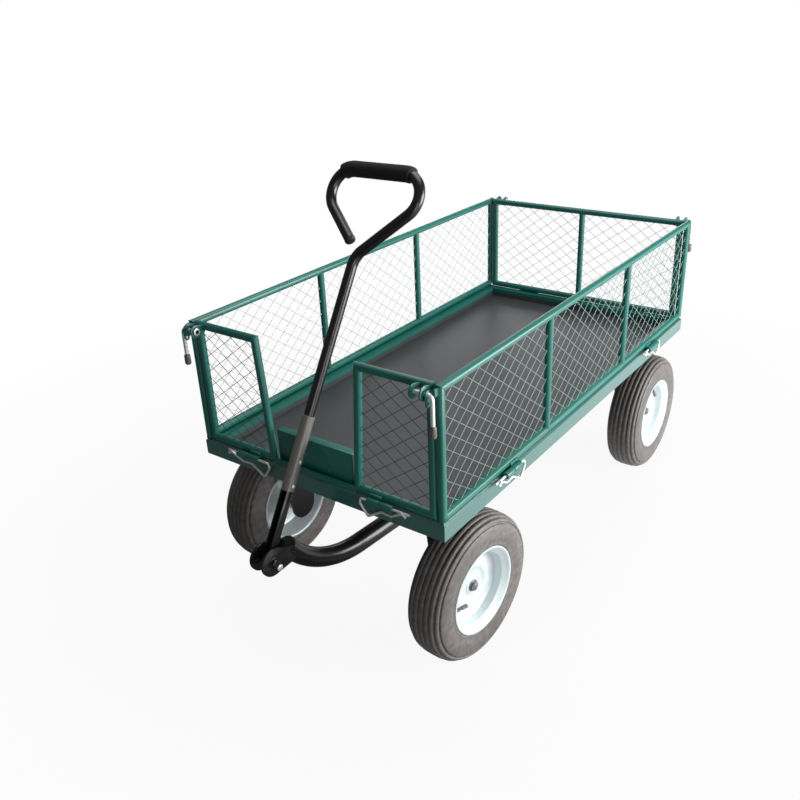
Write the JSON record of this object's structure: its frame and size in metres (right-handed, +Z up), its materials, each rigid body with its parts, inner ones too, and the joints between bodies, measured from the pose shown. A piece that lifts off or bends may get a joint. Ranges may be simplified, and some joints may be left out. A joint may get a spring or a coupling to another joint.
{
  "type": "mesh-sided garden trolley",
  "caption": "Four-wheeled steel garden trolley with drop-down mesh sides, corner latches, a turntable front axle and a tilting loop handle.",
  "frame": {"origin": "on the ground, under the middle of the trolley's outline seen from above", "axes": "+X to the right as seen from the handle's end looking at the trolley, +Y to the tail, +Z up; the handle's end is at -Y"},
  "size_m": [0.6438, 1.371, 0.9456],
  "materials": {
    "green_paint": "semi-gloss powder coat",
    "mesh_paint": "semi-gloss powder coat on wire",
    "floor_paint": "satin dark grey paint",
    "black_paint": "gloss black powder coat",
    "zinc": "bright zinc plate",
    "rim_paint": "pale silver paint",
    "tyre": "dull black rubber",
    "valve_rubber": "black rubber",
    "sleeve": "satin grey",
    "black_plastic": "satin black",
    "foam": "soft black foam",
    "vinyl": "dipped vinyl"
  },
  "bodies": {
    "bed": {"bed_rails": "green_paint", "cross_members": "green_paint", "floor_pan": "floor_paint", "sill_plate": "green_paint", "sill_brackets": "black_paint", "sill_rivets": "zinc", "bed_knuckles": "green_paint", "hinge_clips": "zinc", "table_upper": "black_paint", "king_pin": "zinc", "rear_beam": "black_paint", "rear_drop_plates": "black_paint", "rear_stubs": "zinc", "rear_nuts": "zinc"},
    "carriage": {"table_lower": "black_paint", "front_beam": "black_paint", "front_drop_plates": "black_paint", "front_stubs": "zinc", "front_nuts": "zinc", "tongue": "black_paint", "tongue_cheeks": "black_paint", "pivot_bolt": "zinc", "stop_pin": "zinc"},
    "handle": {"handle_channel": "black_paint", "handle_sleeve": "sleeve", "handle_tube": "black_paint", "handle_cap": "black_plastic", "handle_screws": "zinc", "grip": "foam"},
    "wheel_fl": {"tyre_fl": "tyre", "rim_fl": "rim_paint", "valve_fl": "valve_rubber"},
    "wheel_fr": {"tyre_fr": "tyre", "rim_fr": "rim_paint", "valve_fr": "valve_rubber"},
    "wheel_rl": {"tyre_rl": "tyre", "rim_rl": "rim_paint", "valve_rl": "valve_rubber"},
    "wheel_rr": {"tyre_rr": "tyre", "rim_rr": "rim_paint", "valve_rr": "valve_rubber"},
    "front_gate": {"gate_front": "green_paint", "mesh_front": "mesh_paint"},
    "rear_gate": {"gate_rear": "green_paint", "mesh_rear": "mesh_paint"},
    "left_gate": {"gate_left": "green_paint", "mesh_left": "mesh_paint"},
    "right_gate": {"gate_right": "green_paint", "mesh_right": "mesh_paint"},
    "latch_fl": {"latch_rod_fl": "zinc", "latch_tip_fl": "vinyl"},
    "latch_fr": {"latch_rod_fr": "zinc", "latch_tip_fr": "vinyl"},
    "latch_rl": {"latch_rod_rl": "zinc", "latch_tip_rl": "vinyl"},
    "latch_rr": {"latch_rod_rr": "zinc", "latch_tip_rr": "vinyl"}
  },
  "joints": [
    {"name": "steering", "type": "hinge", "parent": "bed", "child": "carriage", "pos_m": [0, -0.3765, 0.329], "axis": [0, 0, 1], "range_deg": [-10.4, 19.6]},
    {"name": "handle_tilt", "type": "hinge", "parent": "carriage", "child": "handle", "pos_m": [-0.02246, -0.6556, 0.258], "axis": [0.9968, -0.0802, 0], "range_deg": [0, 125]},
    {"name": "spin_fl", "type": "hinge", "parent": "carriage", "child": "wheel_fl", "pos_m": [-0.26993, -0.35478, 0.156], "axis": [0.9968, -0.0802, 0], "continuous": true},
    {"name": "spin_fr", "type": "hinge", "parent": "carriage", "child": "wheel_fr", "pos_m": [0.26993, -0.39822, 0.156], "axis": [0.9968, -0.0802, 0], "continuous": true},
    {"name": "spin_rl", "type": "hinge", "parent": "bed", "child": "wheel_rl", "pos_m": [-0.2708, 0.5025, 0.156], "axis": [1, 0, 0], "continuous": true},
    {"name": "spin_rr", "type": "hinge", "parent": "bed", "child": "wheel_rr", "pos_m": [0.2708, 0.5025, 0.156], "axis": [1, 0, 0], "continuous": true},
    {"name": "front_fold", "type": "hinge", "parent": "bed", "child": "front_gate", "pos_m": [0, -0.5396, 0.384], "axis": [1, 0, 0], "range_deg": [0, 110]},
    {"name": "rear_fold", "type": "hinge", "parent": "bed", "child": "rear_gate", "pos_m": [0, 0.6616, 0.384], "axis": [-1, 0, 0], "range_deg": [0, 165]},
    {"name": "right_fold", "type": "hinge", "parent": "bed", "child": "right_gate", "pos_m": [0.3126, 0.061, 0.384], "axis": [0, 1, 0], "range_deg": [0, 165]},
    {"name": "left_fold", "type": "hinge", "parent": "bed", "child": "left_gate", "pos_m": [-0.3126, 0.061, 0.384], "axis": [0, -1, 0], "range_deg": [0, 165]},
    {"name": "latch_turn_fl", "type": "hinge", "parent": "front_gate", "child": "latch_fl", "pos_m": [-0.28, -0.55, 0.643], "axis": [-1, 0, 0], "range_deg": [0, 170]},
    {"name": "latch_turn_fr", "type": "hinge", "parent": "front_gate", "child": "latch_fr", "pos_m": [0.28, -0.55, 0.643], "axis": [-1, 0, 0], "range_deg": [0, 170]},
    {"name": "latch_turn_rl", "type": "hinge", "parent": "rear_gate", "child": "latch_rl", "pos_m": [-0.28, 0.672, 0.643], "axis": [1, 0, 0], "range_deg": [0, 170]},
    {"name": "latch_turn_rr", "type": "hinge", "parent": "rear_gate", "child": "latch_rr", "pos_m": [0.28, 0.672, 0.643], "axis": [1, 0, 0], "range_deg": [0, 170]}
  ]
}
